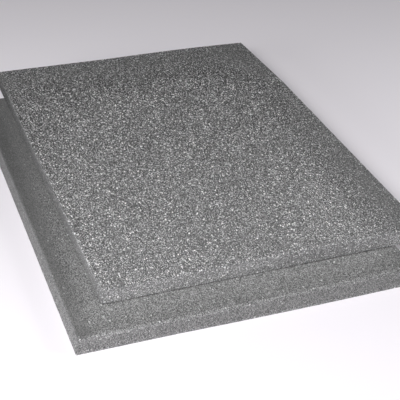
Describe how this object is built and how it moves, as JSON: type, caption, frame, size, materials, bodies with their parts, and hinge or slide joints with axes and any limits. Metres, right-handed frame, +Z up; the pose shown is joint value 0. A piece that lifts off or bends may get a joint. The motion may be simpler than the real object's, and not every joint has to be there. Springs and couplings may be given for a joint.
{
  "type": "back protector foam pad",
  "caption": "Flat rectangular foam pads for a jacket's back pocket, stacked loose and slightly out of line, with square-cut edges.",
  "frame": {"origin": "middle of the lower sheet's underside, on the surface that the stack lies on", "axes": "+X along the sheets' width, +Y along their length, +Z up through their thickness"},
  "size_m": [0.3207, 0.435, 0.0303],
  "materials": {
    "fine_foam": "matte charcoal open-cell foam with fine pores",
    "coarse_foam": "matte charcoal open-cell foam with coarse pores and small glints"
  },
  "bodies": {
    "lower_sheet": {"lower_foam_sheet": "fine_foam"},
    "upper_sheet": {"upper_foam_sheet": "coarse_foam"}
  },
  "joints": [
    {"name": "upper_sheet_lift", "type": "slide", "parent": "lower_sheet", "child": "upper_sheet", "axis": [0, 0, 1], "range_m": [0, 0.06]}
  ]
}
